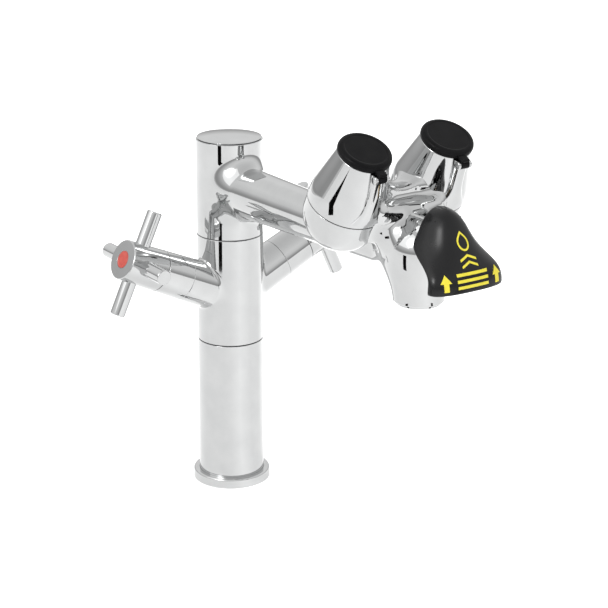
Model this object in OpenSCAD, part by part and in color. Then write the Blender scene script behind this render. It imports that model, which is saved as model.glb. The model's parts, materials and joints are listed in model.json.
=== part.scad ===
// Deck-mounted laboratory combination faucet with a twin-head emergency eyewash.
// Millimetres. The origin is where the column axis meets the deck, +Z is up, the spout points
// along -Y, the hot valve is on the -X side and the cold valve on the +X side.
// "Left" is the -X side and "right" is the +X side.

/* [Column] */
// Diameter of the column, valve body and spout barrel
column_d = 50; // [46:1:60]
// Wall of the riser tube
riser_wall = 3; // [2:0.5:4]
// Height of the joint between the riser and the valve body
riser_top = 114.6; // [90:1:150]
// Height of the valve body between its two joints
body_h = 83; // [78:1:100]
// Height of the spout barrel above the swivel joint
barrel_h = 73.4; // [70:1:88]
// Thickness of the washers that show as dark lines at the two joints
joint_washer_t = 0.6; // [0.4:0.1:1]
// Radial step from the column surface in to those washers
joint_step = 0.8; // [0.5:0.1:1.5]
// How far the base flange stands out from the column
flange_overhang = 4.5; // [3:0.5:10]
// Height of the base flange
flange_h = 7.5; // [6:0.5:12]
// Rounding of the flange's top edge
flange_edge_r = 1.6; // [0.8:0.2:2.5]

/* [Mounting and supply] */
// Thickness of the deck gasket
gasket_t = 1.8; // [1:0.2:3]
// Thickness of the base plug
base_plug_t = 22; // [14:1:28]
// Radius of the centre stud hole, drilled for an M10 thread
stud_hole_r = 4.25; // [3.3:0.05:5]
// Depth of the centre stud hole
stud_hole_depth = 16; // [8:1:18]
// Radius of the two inlet ports, drilled for an M10x1 thread
inlet_r = 4.5; // [4:0.1:5]
// Depth of the inlet ports
inlet_depth = 12; // [8:1:12]
// Distance of each inlet and supply pipe from the column axis
supply_offset = 12.5; // [12:0.5:14]
// Outer radius of the supply pipes
pipe_r = 4; // [3:0.5:4.5]
// Wall of the supply pipes
pipe_wall = 1; // [0.6:0.1:1.2]

/* [Valves] */
// Height above the riser joint where the valve axes cross the column axis
valve_rise = 35; // [30:1:42]
// Upward tilt of the valve axes
valve_tilt = 24.8; // [10:1:35]
// Distance along a valve axis from the column axis to the hub face
hub_face = 102.2; // [98:1:125]
// Length of a handle hub
hub_l = 31.8; // [28:0.5:36]
// Length of a bonnet
bonnet_l = 23; // [18:1:26]
// Radius of a hub at its face
hub_face_r = 15; // [14:0.5:18]
// Growth in radius for each millimetre towards the column
branch_taper = 0.0246; // [0.01:0.002:0.05]
// Radius of the headwork bore
headwork_r = 10; // [9:0.5:11]
// Radius of the valve spindle
spindle_r = 4.5; // [3.5:0.5:5]
// Radius of a coloured index button
index_r = 6.4; // [5:0.2:8]

/* [Handles] */
// Distance from the handle axis to a spoke's tip
spoke_reach = 40.5; // [32:0.5:50]
// Radius of a spoke
spoke_r = 5.7; // [4.5:0.1:7]
// Distance from the hub face back to the middle of the spokes
spoke_setback = 12.2; // [11:0.2:16]
// Depth of a spoke's socket in the hub
spoke_socket = 4; // [3:0.5:6]
// Rounding of a spoke's tip
spoke_tip_r = 1.4; // [0.6:0.2:2.4]

/* [Spout] */
// Height of the arm's axis above the swivel joint, at the column axis
arm_lift = 36.3; // [32:0.5:42]
// Rise of the arm towards its tip, in degrees
arm_rise = 1.3; // [0:0.1:3]
// Radius of the arm at the column axis
arm_root_r = 19.4; // [16:0.2:21]
// Radius of the arm where it meets the outlet
arm_tip_r = 13.9; // [12.5:0.2:16]
// Distance from the column axis to the outlet axis
outlet_reach = 231; // [225:1:290]
// Outer radius of the outlet
outlet_r = 17.4; // [16:0.2:20]
// How far the outlet's mouth lies below the arm's axis
outlet_drop = 26.9; // [22:0.5:40]
// Radius of the waterway in the arm
water_r = 7; // [5:0.5:8]

/* [Eyewash heads] */
// How far a dust cap's centre lies behind the outlet axis
head_setback = 16; // [12:0.5:20]
// Half of the distance between the two dust caps' centres
head_half_gap = 33.7; // [33:0.5:40]
// Height of a dust cap's centre above the arm's axis
head_rise = 77.1; // [74:1:90]
// Forward tilt of the heads
head_tilt = 27.5; // [22:0.5:30]
// Radius of a dust cap
cap_r = 18.6; // [18.2:0.2:24]
// Greatest radius of a head
bulge_r = 26.5; // [24:0.5:27]
// Outer radius of a head's mouth, under its cap
mouth_r = 17.6; // [15.5:0.2:18]
// Wall of the head shells and bowls
head_wall = 2.2; // [1.4:0.2:3]
// Distance from the cap down to the start of the straight band
cone_l = 37; // [32:1:40]
// Distance from the cap down to the seam between shell and bowl
seam_depth = 43; // [40:1:48]
// Distance from the cap down to the bottom of the bowl
head_depth = 78; // [74:1:82]
// Number of spray holes in the outer ring
spray_holes = 12; // [6:1:16]

/* [Lift paddle] */
// How far the paddle's pivot stands in front of the outlet axis
pivot_advance = 25; // [19:0.5:28]
// Height of the paddle's pivot above the arm's axis
pivot_rise = 32.1; // [29:0.5:35]
// Half width of the paddle at its lower edge
paddle_half_w = 29.5; // [24:0.5:34]
// Half width of the paddle at its crown
crown_half_w = 10; // [8:0.5:14]
// Height of the paddle's crown above the pivot
crown_rise = 11.8; // [10:0.2:16]
// Height of the paddle's lower edge below the pivot
paddle_drop = 36; // [30:1:46]
// How far the lower edge stands in front of the pivot
paddle_forward = 32; // [26:0.5:36]
// Wall of the paddle
paddle_wall = 2.2; // [1.6:0.2:3]

/* [Fits] */
// Radial clearance where a piece turns or slides in a bore
running_gap = 0.05; // [0.02:0.01:0.1]
// Clearance between pieces that are fixed together
seat_gap = 0.05; // [0.02:0.01:0.2]
// Clearance between faces that move past each other
face_gap = 0.4; // [0.3:0.1:1]

/* [Hidden] */
$fn = 96;
eps = 0.01;
SIDES = [-1, 1];
column_r = column_d / 2;
valve_z = riser_top + valve_rise;
riser_r = column_r - riser_wall;
body_z = riser_top + joint_washer_t;
body_top = riser_top + body_h;
barrel_z = body_top + joint_washer_t;
barrel_top = body_top + barrel_h;
arm_z = body_top + arm_lift;
outlet_z = arm_z - outlet_drop;
head_reach = outlet_reach - head_setback;
head_z = arm_z + head_rise;
pivot_reach = outlet_reach + pivot_advance;
pivot_z = arm_z + pivot_rise;

// Seats inside the base flange
riser_z = gasket_t + 1.2;
gasket_r = column_r + flange_overhang - 3;
plug_foot_r = riser_r - 3;
pipe_socket = 6;

// Swivel post and its seats in the valve body and the barrel
post_r = 12;
post_bore_r = 7;
post_foot_r = 16;
post_foot_h = 11;
bearing_r = 14;
post_top = barrel_top - 15;
web_t = 4;
screw_r = 4;
screw_head_r = 7;
screw_head_h = 4.5;
screw_grip = 13;
o_ring_r = 1.35;
o_ring_mid_r = bearing_r - running_gap - o_ring_r;
groove_h = 3.2;
groove_floor_r = o_ring_mid_r - o_ring_r - seat_gap;
bush_h = 8;
port_r = 4.5;
cap_lip = 0.8;
cap_seat_depth = 5;
cap_dome = 3.4;

// Places along a valve axis, measured from the column axis
hub_back = hub_face - hub_l;
bonnet_end = hub_back - face_gap;
branch_end = bonnet_end - bonnet_l;
branch_start = 12;
headwork_start = 20;
headwork_end = hub_back + 5;
neck_r = 8;
spindle_end = hub_face - 10;
disc_t = 3;
spindle_start = headwork_start + 3 + 2 * disc_t + 2 * eps;
seat_r = 4;
index_t = 2.6;
screw_shank_r = 2;
handle_screw_head_r = 3.8;
handle_screw_head_t = 2.6;
spoke_root = hub_face_r - spoke_socket;
spoke_mid = hub_face - spoke_setback;
function branch_r(t) = hub_face_r + branch_taper * (hub_face - t);

// Places in the spout
arm_l = outlet_reach;
tee_z = pivot_z - 9;
tee_reach = outlet_reach - 18;
tee_r = 16;
tee_half_w = 10;
stem_z = pivot_z - 14;
stem_r = 2.5;
stem_bore_r = 8;
stem_back = tee_reach - 16;
piston_r = stem_bore_r - running_gap;
piston_t = 4;
piston_y = stem_back + 6;
bush_l = 9;
nose_r = 5;
nose_half_w = 8;
pivot_pin_r = 1.6;
paddle_back = 7;
paddle_step = 12;
skirt_l = 9;
pin_half_l = 13.2;
link_reach = pivot_reach + 1.5;
link_pin_r = 1.2;
link_eye_r = 2.8;
link_half_l = 5.6;
aerator_r = 12;
aerator_bore_r = 9.4;
aerator_h = 11;
aerator_stand = 0.8;
nipple_r = 5.5;
nipple_bore_r = 3.8;
nipple_l = 12;
nipple_x = stem_bore_r + 0.3;
nipple_reach = tee_reach - 13;

// Levels in a head, measured down its axis from the cap's widest plane
cap_top = 2;
cap_under = 2.6;
cap_plug_r = mouth_r - head_wall - 0.8;
cap_plug_h = 3.5;
mouth_level = cap_under + face_gap;
seal_t = 0.6;
bowl_level = seam_depth + seal_t;
plate_t = 1.6;
plate_level = mouth_level + 5.5;
filter_t = 4;
hinge_lead = 3.4;
hinge_y = -(cap_r + hinge_lead);
hinge_level = 5.2;
hinge_pin_r = 1;
tongue_half_w = 3;
ear_t = 2.2;
ear_r = 2.6;
tongue_r = 2.4;

// ---- shared shapes -------------------------------------------------------------------------

module ring(r_out, r_in, h) {
    difference() {
        cylinder(r = r_out, h = h);
        translate([0, 0, -1]) cylinder(r = r_in, h = h + 2);
    }
}

// A ring of round section, as an O-ring
module o_ring(mid_r, section_r) {
    rotate_extrude() translate([mid_r, 0]) circle(r = section_r, $fn = 32);
}

// A cylinder along X, centred on its own middle
module cross_rod(r, half_l) {
    rotate([0, 90, 0]) cylinder(r = r, h = 2 * half_l, center = true);
}

// A cylinder that runs along -Y from the distance y0 to the distance y1
module fore_rod(r, y0, y1, z) {
    translate([0, -y0, z]) rotate([90, 0, 0]) cylinder(r = r, h = y1 - y0);
}

// Places its children on a valve axis: their Z axis runs out along it
module on_valve(side) {
    translate([0, 0, valve_z]) rotate([0, side * (90 - valve_tilt), 0]) children();
}

// Places its children on a head: their Z axis runs up it, from the cap's widest plane
module on_head(side) {
    translate([side * head_half_gap, -head_reach, head_z]) rotate([head_tilt, 0, 0]) children();
}

// The tapered outside of a valve branch between two places on its axis
module branch(t0, t1) {
    translate([0, 0, t0]) cylinder(r1 = branch_r(t0), r2 = branch_r(t1), h = t1 - t0);
}

// ---- base and column -----------------------------------------------------------------------

module deck_gasket() {
    color("dimgray") ring(gasket_r, plug_foot_r + seat_gap, gasket_t);
}

module base_flange() {
    rim_r = column_r + flange_overhang;
    color("silver") difference() {
        rotate_extrude() union() {
            square([rim_r, flange_h - flange_edge_r]);
            square([rim_r - flange_edge_r, flange_h]);
            translate([rim_r - flange_edge_r, flange_h - flange_edge_r])
                circle(r = flange_edge_r, $fn = 48);
        }
        translate([0, 0, -1]) cylinder(r = plug_foot_r + seat_gap, h = flange_h + 2);
        translate([0, 0, -1]) cylinder(r = gasket_r + seat_gap, h = gasket_t + 1);
        translate([0, 0, riser_z]) cylinder(r = column_r + seat_gap, h = flange_h);
    }
}

module riser_tube() {
    color("silver") translate([0, 0, riser_z]) ring(column_r, riser_r, riser_top - riser_z);
}

module base_plug() {
    color("goldenrod") difference() {
        union() {
            cylinder(r = plug_foot_r, h = riser_z + 1);
            translate([0, 0, riser_z]) cylinder(r = riser_r - seat_gap, h = base_plug_t - riser_z);
        }
        translate([0, 0, -1]) cylinder(r = stud_hole_r, h = stud_hole_depth + 1);
        for (side = SIDES) translate([side * supply_offset, 0, 0]) {
            translate([0, 0, -1]) cylinder(r = inlet_r, h = inlet_depth + 1);
            cylinder(r = pipe_r - pipe_wall, h = base_plug_t + 1);
            translate([0, 0, base_plug_t - pipe_socket]) cylinder(r = pipe_r + seat_gap, h = pipe_socket + 1);
        }
    }
}

module supply_pipe(side) {
    foot = base_plug_t - pipe_socket;
    color("peru") translate([side * supply_offset, 0, foot])
        ring(pipe_r, pipe_r - pipe_wall, body_z + pipe_socket - foot);
}

module riser_joint_washer() {
    color("dimgray") translate([0, 0, riser_top])
        ring(column_r - joint_step, riser_r, joint_washer_t);
}

module swivel_washer() {
    color("dimgray") translate([0, 0, body_top])
        ring(column_r - joint_step, post_foot_r + 1, joint_washer_t);
}

module valve_body() {
    color("silver") difference() {
        union() {
            translate([0, 0, body_z]) cylinder(r = column_r, h = body_top - body_z);
            for (side = SIDES) on_valve(side) branch(branch_start, branch_end);
        }
        translate([0, 0, valve_z - 6]) cylinder(r = post_bore_r, h = body_top - valve_z);
        translate([0, 0, body_top - post_foot_h])
            cylinder(r = post_foot_r + seat_gap, h = post_foot_h + 1);
        for (side = SIDES) {
            on_valve(side) translate([0, 0, headwork_start])
                cylinder(r = headwork_r + seat_gap, h = hub_face);
            on_valve(side) translate([0, 0, 3]) cylinder(r = seat_r, h = headwork_start - 2);
            translate([side * supply_offset, 0, body_z - 1])
                cylinder(r = pipe_r - pipe_wall, h = valve_z + 5 - body_z);
            translate([side * supply_offset, 0, body_z - 1])
                cylinder(r = pipe_r + seat_gap, h = pipe_socket + 1);
        }
    }
}

module swivel_post() {
    foot_z = body_top - post_foot_h;
    color("goldenrod") difference() {
        union() {
            translate([0, 0, foot_z]) cylinder(r = post_foot_r, h = post_foot_h);
            translate([0, 0, foot_z]) cylinder(r = post_r, h = post_top - foot_z);
        }
        translate([0, 0, foot_z - 1]) cylinder(r = post_bore_r, h = arm_z + 8 - foot_z);
        for (turn = [0, 90]) translate([0, 0, arm_z]) rotate([0, 0, turn]) cross_rod(port_r, column_r);
        for (z = o_ring_levels()) translate([0, 0, z - groove_h / 2])
            ring(post_r + 1, groove_floor_r, groove_h);
        translate([0, 0, post_top - screw_grip]) cylinder(r = screw_r + seat_gap, h = screw_grip + 1);
    }
}

function o_ring_levels() = [barrel_z + 16, post_top - 6];

module swivel_o_rings() {
    color("dimgray") for (z = o_ring_levels()) translate([0, 0, z]) o_ring(o_ring_mid_r, o_ring_r);
}

// ---- valves and handles --------------------------------------------------------------------

module headwork(side) {
    color("goldenrod") on_valve(side) difference() {
        union() {
            translate([0, 0, headwork_start]) cylinder(r = headwork_r, h = hub_back - 8 - headwork_start);
            translate([0, 0, headwork_start]) cylinder(r = neck_r, h = headwork_end - headwork_start);
        }
        translate([0, 0, headwork_start - 1]) cylinder(r = seat_r, h = 6);
        translate([0, 0, headwork_start + 3])
            cylinder(r = neck_r - 1 + seat_gap, h = 2 * disc_t + spindle_flange_t() + 1);
        translate([0, 0, headwork_start]) cylinder(r = spindle_r + running_gap, h = hub_face);
    }
}

function spindle_flange_t() = 3;

module seat_disc(side) {
    color("white") on_valve(side) translate([0, 0, headwork_start + 3]) difference() {
        cylinder(r = neck_r - 1, h = disc_t);
        for (x = SIDES) translate([x * 3.4, 0, -1]) cylinder(r = 1.8, h = disc_t + 2);
    }
}

module turning_disc(side) {
    color("white") on_valve(side) translate([0, 0, headwork_start + 3 + disc_t + eps]) difference() {
        cylinder(r = neck_r - 1 - running_gap, h = disc_t);
        for (y = SIDES) translate([0, y * 3.4, -1]) cylinder(r = 1.8, h = disc_t + 2);
    }
}

module spindle(side) {
    color("goldenrod") on_valve(side) difference() {
        union() {
            translate([0, 0, spindle_start])
                cylinder(r = neck_r - 1 - running_gap, h = spindle_flange_t());
            translate([0, 0, spindle_start]) cylinder(r = spindle_r, h = spindle_end - spindle_start);
        }
        translate([0, 0, spindle_end - 12]) cylinder(r = screw_shank_r + seat_gap, h = 13);
    }
}

module bonnet(side) {
    color("silver") on_valve(side) difference() {
        branch(branch_end, bonnet_end);
        translate([0, 0, branch_end - 1]) cylinder(r = headwork_r + seat_gap, h = bonnet_l + 2);
    }
}

module handle_hub(side) {
    color("silver") on_valve(side) difference() {
        branch(hub_back, hub_face);
        translate([0, 0, hub_back - 1]) cylinder(r = neck_r + 1, h = headwork_end - hub_back + 2);
        translate([0, 0, hub_back]) cylinder(r = spindle_r + seat_gap, h = spindle_end - hub_back);
        cylinder(r = screw_shank_r + seat_gap, h = hub_face);
        translate([0, 0, hub_face - index_t - handle_screw_head_t])
            cylinder(r = handle_screw_head_r + seat_gap, h = handle_screw_head_t + 1);
        translate([0, 0, hub_face - index_t]) cylinder(r = index_r + seat_gap, h = index_t + 1);
        for (turn = [0 : 90 : 270]) translate([0, 0, spoke_mid]) rotate([0, 0, turn])
            translate([spoke_root, 0, 0]) rotate([0, 90, 0]) cylinder(r = spoke_r + seat_gap, h = hub_l);
    }
}

// A round bar with a rounded tip, standing on its foot
module spoke_bar(l) {
    rotate_extrude() {
        square([spoke_r - spoke_tip_r, l]);
        square([spoke_r, l - spoke_tip_r]);
        intersection() {
            translate([spoke_r - spoke_tip_r, l - spoke_tip_r]) circle(r = spoke_tip_r, $fn = 32);
            square([spoke_r, l]);
        }
    }
}

module handle_spokes(side) {
    color("silver") on_valve(side) for (turn = [0 : 90 : 270])
        translate([0, 0, spoke_mid]) rotate([0, 0, turn]) translate([spoke_root + seat_gap, 0, 0])
            rotate([0, 90, 0]) spoke_bar(spoke_reach - spoke_root);
}

module handle_screw(side) {
    head_z = hub_face - index_t - handle_screw_head_t;
    color("gray") on_valve(side) difference() {
        union() {
            translate([0, 0, head_z]) cylinder(r = handle_screw_head_r, h = handle_screw_head_t - eps);
            translate([0, 0, spindle_end - 10]) cylinder(r = screw_shank_r, h = head_z - spindle_end + 10);
        }
        translate([0, 0, hub_face - index_t - 1.6]) cylinder(r = 1.8, h = 3, $fn = 6);
    }
}

module index_button(side, paint) {
    color(paint) on_valve(side) translate([0, 0, hub_face - index_t]) rotate_extrude() {
        square([index_r - 0.5, index_t + 0.4]);
        square([index_r, index_t]);
    }
}

// ---- spout ---------------------------------------------------------------------------------

// Places its children on the arm: their Z axis runs out along it from the column axis
module on_arm() {
    translate([0, 0, arm_z]) rotate([90 - arm_rise, 0, 0]) children();
}

// The outside of a head below its mouth, grown by a clearance
module head_outline(grow) {
    rotate_extrude() offset_profile(grow);
}

module offset_profile(grow) {
    polygon([[0, -mouth_level], [mouth_r + grow, -mouth_level], [bulge_r + grow, -cone_l],
        [bulge_r + grow, -bowl_level - 8], [0, -bowl_level - 8]]);
    intersection() {
        translate([0, -bowl_level - 8]) circle(r = bulge_r + grow);
        translate([0, -head_depth - grow]) square([bulge_r + grow + 1, head_depth]);
    }
}

module spout_casting() {
    color("silver") difference() {
        union() {
            translate([0, 0, barrel_z]) cylinder(r = column_r, h = barrel_top - barrel_z);
            on_arm() cylinder(r1 = arm_root_r, r2 = arm_tip_r, h = arm_l);
            translate([0, -outlet_reach, outlet_z]) cylinder(r = outlet_r, h = stem_z - outlet_z - 6);
            translate([0, -outlet_reach, stem_z - 6]) sphere(r = outlet_r);
            tee_lobe();
            head_web();
            paddle_nose();
        }
        for (side = SIDES) on_head(side) head_outline(seat_gap);
        barrel_bores();
        waterways();
        translate([0, -pivot_reach, pivot_z]) cross_rod(pivot_pin_r + running_gap, pin_half_l);
    }
}

// The rounded lobe across the spout that feeds both heads
module tee_lobe() {
    translate([0, -tee_reach, tee_z]) {
        cross_rod(tee_r, tee_half_w);
        for (side = SIDES) translate([side * tee_half_w, 0, 0]) sphere(r = tee_r);
    }
}

// The saddle-topped web between the two heads
module head_web() {
    difference() {
        translate([-head_half_gap / 2, -tee_reach - 2, tee_z]) cube([head_half_gap, 22, 31]);
        translate([0, 0, tee_z + 41]) rotate([90, 0, 0]) cylinder(r = 18, h = outlet_reach + 20);
    }
}

// The nose that carries the paddle's pivot
module paddle_nose() {
    translate([0, -pivot_reach, pivot_z]) cross_rod(nose_r, nose_half_w);
    translate([-nose_half_w, -pivot_reach, pivot_z - nose_r])
        cube([2 * nose_half_w, pivot_reach - tee_reach, 2 * nose_r - 1.5]);
}

module barrel_bores() {
    translate([0, 0, barrel_z - 1]) cylinder(r = bearing_r, h = post_top + face_gap - barrel_z + 1);
    translate([0, 0, barrel_z]) cylinder(r = screw_r + running_gap, h = barrel_h);
    translate([0, 0, post_top + face_gap + web_t])
        cylinder(r = post_foot_r, h = barrel_h);
    translate([0, 0, barrel_top - cap_seat_depth])
        cylinder(r = column_r - cap_lip + seat_gap, h = cap_seat_depth + 1);
}

module waterways() {
    on_arm() translate([0, 0, bearing_r - 3]) cylinder(r = water_r, h = outlet_reach - 6 - bearing_r);
    translate([0, -outlet_reach, outlet_z - 1]) cylinder(r = aerator_r + seat_gap, h = aerator_h + 1);
    translate([0, -outlet_reach, outlet_z]) cylinder(r = aerator_bore_r, h = arm_z + 4 - outlet_z);
    fore_rod(stem_bore_r, stem_back, outlet_reach + outlet_r + 10, stem_z);
    translate([0, -nipple_reach, tee_z]) cross_rod(nipple_r + seat_gap, head_half_gap);
}

module swivel_bushes() {
    color("ivory") for (z = [barrel_z + 2, post_top - 6 - groove_h - bush_h])
        translate([0, 0, z]) ring(bearing_r - seat_gap, post_r + running_gap, bush_h);
}

module retaining_screw() {
    head_z = post_top + face_gap + web_t + face_gap;
    color("gray") difference() {
        union() {
            translate([0, 0, post_top - screw_grip + 1]) cylinder(r = screw_r, h = screw_grip + web_t + 1);
            translate([0, 0, head_z]) cylinder(r = screw_head_r, h = screw_head_h);
        }
        translate([0, 0, head_z + 1.5]) cylinder(r = 3.4, h = screw_head_h, $fn = 6);
    }
}

// The top cap is a shallow dome: a slice of a large sphere on a short cylinder
module top_cap() {
    cap_rim_r = column_r - cap_lip;
    dome_r = (cap_rim_r * cap_rim_r + cap_dome * cap_dome) / (2 * cap_dome);
    color("silver") difference() {
        translate([0, 0, barrel_top - cap_seat_depth]) rotate_extrude() {
            square([cap_rim_r, cap_seat_depth - 0.6]);
            intersection() {
                translate([0, cap_seat_depth - 0.6 + cap_dome - dome_r]) circle(r = dome_r, $fn = 200);
                square([cap_rim_r, cap_seat_depth + cap_dome]);
            }
        }
        translate([0, 0, barrel_top - cap_seat_depth - 1]) cylinder(r = post_foot_r, h = 3);
    }
}

module aerator_sleeve() {
    color("silver") translate([0, -outlet_reach, outlet_z - aerator_stand])
        ring(aerator_r, aerator_bore_r, aerator_h + aerator_stand);
}

module aerator_insert() {
    color("gainsboro") translate([0, -outlet_reach, outlet_z + 0.4]) difference() {
        cylinder(r = aerator_bore_r - seat_gap, h = aerator_h - 3);
        translate([0, 0, -1]) cylinder(r = 1.4, h = aerator_h);
        for (turn = [0 : 60 : 300]) rotate([0, 0, turn]) translate([4.6, 0, -1])
            cylinder(r = 1.4, h = aerator_h);
    }
}

module head_nipples() {
    color("goldenrod") for (side = SIDES)
        translate([side * (nipple_x + nipple_l / 2), -nipple_reach, tee_z]) difference() {
            cross_rod(nipple_r, nipple_l / 2);
            cross_rod(nipple_bore_r, nipple_l);
        }
}

// ---- diverter and paddle -------------------------------------------------------------------

module diverter_bush() {
    front = outlet_reach + outlet_r - 3;
    color("goldenrod") difference() {
        fore_rod(stem_bore_r - seat_gap, front - bush_l, front, stem_z);
        fore_rod(stem_r + running_gap, front - bush_l - 1, front + 1, stem_z);
    }
}

module diverter_stem() {
    color("goldenrod") difference() {
        union() {
            fore_rod(stem_r, stem_back + 3, link_reach, stem_z);
            fore_rod(piston_r, piston_y, piston_y + piston_t, stem_z);
            translate([0, -link_reach, stem_z]) cross_rod(link_eye_r, 2.4);
        }
        translate([0, -link_reach, stem_z]) cross_rod(link_pin_r + running_gap, link_half_l);
    }
}

// The spring is drawn as the closed sleeve that its coils fill
module diverter_spring() {
    color("gray") difference() {
        fore_rod(stem_bore_r - 1.5, piston_y + piston_t + face_gap,
            outlet_reach + outlet_r - 3 - bush_l - face_gap, stem_z);
        fore_rod(stem_r + 1, piston_y, outlet_reach + outlet_r, stem_z);
    }
}

module diverter_link_pin() {
    color("gray") translate([0, -link_reach, stem_z]) cross_rod(link_pin_r, link_half_l);
}

// The paddle seen from the side, with y measured forward from the pivot: the front runs from
// the crown to the lower edge in a shallow curve, the back steps forward below the outlet
module paddle_side(inset) {
    crown = crown_rise - inset;
    tip = paddle_forward - inset;
    foot = -paddle_drop - (inset > 0 ? 1 : 0);
    back = inset > 0 ? -30 : -paddle_back;
    lip = paddle_forward - skirt_l - 3 * inset;
    polygon([[back, crown], [1, crown], [5.5 - 0.4 * inset, crown - 2.6], [tip - 19.5, crown - 8.5],
        [tip - 13.5, 29.5 - paddle_drop], [tip - 7.5, 22 - paddle_drop], [tip - 2.5, 14 - paddle_drop],
        [tip - 0.4, 7 - paddle_drop], [tip, foot], [lip, foot], [lip, 10 - paddle_drop],
        [back + 9 - inset, -paddle_step - 4], [back, -paddle_step]]);
}

// The paddle seen from the front
module paddle_front(inset) {
    crown = crown_rise - inset;
    foot = paddle_half_w - inset;
    waist = foot - 9;
    side_pts = [[crown_half_w - inset, crown], [waist - 5, crown - 5], [waist - 2, crown - 12],
        [waist, 29 - paddle_drop], [foot - 5.5, 21.5 - paddle_drop], [foot - 1.9, 13 - paddle_drop],
        [foot, 5 - paddle_drop], [foot, -paddle_drop - 2]];
    polygon(concat(side_pts, [for (i = [len(side_pts) - 1 : -1 : 0]) [-side_pts[i][0], side_pts[i][1]]]));
}

module paddle_block(inset) {
    half_w = paddle_half_w + 1;
    intersection() {
        translate([-half_w, 0, 0]) rotate([90, 0, 90]) mirror([1, 0, 0])
            linear_extrude(2 * half_w) paddle_side(inset);
        translate([0, 40, 0]) rotate([90, 0, 0]) linear_extrude(120) paddle_front(inset);
    }
}

module lift_paddle() {
    ear_in = nose_half_w + face_gap;
    color([0.1, 0.1, 0.1]) translate([0, -pivot_reach, pivot_z]) difference() {
        union() {
            difference() {
                paddle_block(0);
                paddle_block(paddle_wall);
            }
            for (side = SIDES) {
                translate([side * (ear_in + 3), 0, 0]) cross_rod(4.2, 3);
                translate([side * (ear_in + 3) - 3, -9, -2]) cube([6, 9, 4]);
                link_ear(side);
            }
        }
        cross_rod(pivot_pin_r + seat_gap, 40 - crown_half_w);
        translate([0, -1.5, stem_z - pivot_z]) link_slot();
    }
}

// The ears inside the paddle that carry the stem's cross pin along
module link_ear(side) {
    translate([side * 4.2 - 1.2, -20, -18.5]) cube([2.4, 22, 7.5]);
}

// The slot of the link ears, open to the stem's cross pin over the whole lift
module link_slot() {
    for (z = [0.6, -3]) translate([0, 0, z]) cross_rod(link_pin_r + 0.8, 8);
    translate([-8, -link_pin_r - 0.8, -3]) cube([16, 2 * link_pin_r + 1.6, 3.6]);
}

module paddle_pivot_pin() {
    color("gray") translate([0, -pivot_reach, pivot_z]) cross_rod(pivot_pin_r, pin_half_l);
}

// ---- eyewash heads -------------------------------------------------------------------------

module head_bowl(side) {
    centre = bowl_level + 8;
    inner_r = bulge_r - head_wall;
    color("silver") difference() {
        on_head(side) rotate_extrude() difference() {
            union() {
                translate([0, -centre]) square([bulge_r, centre - bowl_level]);
                intersection() {
                    translate([0, -centre]) circle(r = bulge_r);
                    translate([0, -head_depth]) square([bulge_r + 1, head_depth - centre + eps]);
                }
            }
            translate([0, -centre]) square([inner_r, centre]);
            intersection() {
                translate([0, -centre]) circle(r = inner_r);
                translate([0, -head_depth + head_wall]) square([bulge_r, head_depth - centre]);
            }
        }
        translate([0, -nipple_reach, tee_z]) cross_rod(nipple_r + seat_gap, nipple_x + nipple_l);
    }
}

module seam_seal(side) {
    color("dimgray") on_head(side) translate([0, 0, -bowl_level])
        ring(bulge_r - 0.4, bulge_r - head_wall, seal_t);
}

module head_shell(side) {
    bore_r = mouth_r - head_wall;
    color("silver") on_head(side) rotate_extrude() polygon([
        [mouth_r, -mouth_level], [bulge_r, -cone_l], [bulge_r, -seam_depth],
        [bulge_r - head_wall, -seam_depth], [bulge_r - head_wall, -cone_l],
        [bore_r, -plate_level - plate_t - filter_t - 2], [bore_r, -mouth_level]]);
}

module spray_plate(side) {
    plate_r = mouth_r - head_wall - seat_gap;
    color("gainsboro") on_head(side) translate([0, 0, -plate_level - plate_t]) difference() {
        cylinder(r = plate_r, h = plate_t);
        translate([0, 0, -1]) cylinder(r = 1.2, h = plate_t + 2);
        for (i = [0 : spray_holes - 1]) rotate([0, 0, 360 * i / spray_holes])
            translate([plate_r - 3.4, 0, -1]) cylinder(r = 1.1, h = plate_t + 2);
        for (i = [0 : 5]) rotate([0, 0, 60 * i + 15])
            translate([plate_r - 7.4, 0, -1]) cylinder(r = 1.1, h = plate_t + 2);
    }
}

module filter_pad(side) {
    color("darkseagreen") on_head(side) translate([0, 0, -plate_level - plate_t - filter_t])
        cylinder(r = mouth_r - head_wall - seat_gap, h = filter_t);
}

// The bracket is a strap down the front of the shell with two ears for the cap's hinge pin
module hinge_bracket(side) {
    ear_x = tongue_half_w + 0.3;
    color("silver") on_head(side) difference() {
        union() {
            for (x = SIDES) {
                translate([x * (ear_x + ear_t / 2), hinge_y, -hinge_level]) cross_rod(ear_r, ear_t / 2);
                translate([x * (ear_x + ear_t / 2) - ear_t / 2, hinge_y, -hinge_level - 9])
                    cube([ear_t, 8, 9]);
            }
            translate([-ear_x - ear_t, hinge_y, -hinge_level - 9 - 8]) cube([2 * (ear_x + ear_t), 8, 9.5]);
        }
        head_outline(seat_gap);
        translate([0, hinge_y, -hinge_level]) cross_rod(hinge_pin_r + seat_gap, 10);
        translate([0, hinge_y - 4.6, -hinge_level - 20]) rotate([-12, 0, 0])
            translate([-10, -10, -6]) cube([20, 10, 20]);
    }
}

module hinge_pin(side) {
    color("gray") on_head(side) translate([0, hinge_y, -hinge_level])
        cross_rod(hinge_pin_r, tongue_half_w + ear_t);
}

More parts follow.
